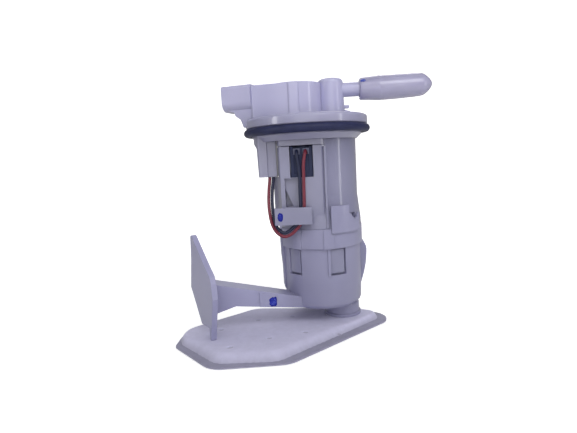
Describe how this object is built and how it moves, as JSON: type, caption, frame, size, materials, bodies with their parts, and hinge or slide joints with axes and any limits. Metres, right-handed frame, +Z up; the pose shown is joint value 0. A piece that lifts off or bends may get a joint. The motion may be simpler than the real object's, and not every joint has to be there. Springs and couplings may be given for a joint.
{
  "type": "fuel pump module",
  "caption": "In-tank electric fuel pump module: flange with socket and outlet, snap-together pump holder, wiring, and a flat strainer under an arm with a fin.",
  "frame": {"origin": "on the pump's axis, in the plane of the strainer's underside", "axes": "+X along the outlet pipe, +Y to the back, +Z up along the pump's axis"},
  "size_m": [0.1288, 0.0872, 0.1241],
  "materials": {
    "white_plastic": "satin",
    "natural_plastic": "satin",
    "cap_plastic": "translucent",
    "black_plastic": "satin",
    "black_rubber": "matt",
    "red_insulation": "smooth",
    "terminal_brass": "plain",
    "steel": "plated",
    "cast_alloy": "die cast",
    "copper": "bare",
    "magnet": "sintered ferrite",
    "carbon": "pressed carbon",
    "filter_fabric": "non-woven nylon felt"
  },
  "bodies": {
    "module": {"flange": "white_plastic", "upper_holder": "white_plastic", "pump_end_cap": "white_plastic", "valve_stop": "white_plastic", "strainer_frame": "white_plastic", "lower_holder": "natural_plastic", "strainer_neck": "natural_plastic", "pump_connector": "black_plastic", "o_ring": "black_rubber", "outlet_seal": "black_rubber", "pump_cushion": "black_rubber", "regulator_seal": "black_rubber", "socket_terminals": "terminal_brass", "crimp_terminals": "steel", "pump_blades": "terminal_brass", "shaft_bushes": "terminal_brass", "red_wire": "red_insulation", "black_wire": "black_plastic", "pump_can": "steel", "pump_base": "cast_alloy", "pump_plate": "cast_alloy", "brush_springs": "steel", "check_spring": "steel", "regulator_body": "steel", "regulator_retainer": "steel", "regulator_spring": "steel", "motor_magnets": "magnet", "brushes": "carbon", "strainer_top": "filter_fabric", "strainer_bottom": "filter_fabric"},
    "rotor": {"armature_core": "steel", "armature_windings": "copper", "armature_shaft": "steel", "commutator": "copper", "impeller": "black_plastic"},
    "check_valve": {"check_valve": "black_rubber"},
    "regulator_valve": {"regulator_valve": "terminal_brass"},
    "cap": {"outlet_cap": "cap_plastic"}
  },
  "joints": [
    {"name": "rotor_spin", "type": "hinge", "parent": "module", "child": "rotor", "pos_m": [0, 0, 0.045], "axis": [0, 0, 1], "continuous": true},
    {"name": "check_valve_lift", "type": "slide", "parent": "module", "child": "check_valve", "axis": [0, 0, 1], "range_m": [0, 0.0015], "stiffness_N_per_m": 60, "springref_m": -0.0025, "deforming": ["check_spring"]},
    {"name": "regulator_lift", "type": "slide", "parent": "module", "child": "regulator_valve", "axis": [0, 0, -1], "range_m": [0, 0.0008], "stiffness_N_per_m": 600, "springref_m": -0.004, "deforming": ["regulator_spring"]},
    {"name": "outlet_cap_pull", "type": "slide", "parent": "module", "child": "cap", "axis": [1, 0, 0], "range_m": [0, 0.024]}
  ]
}
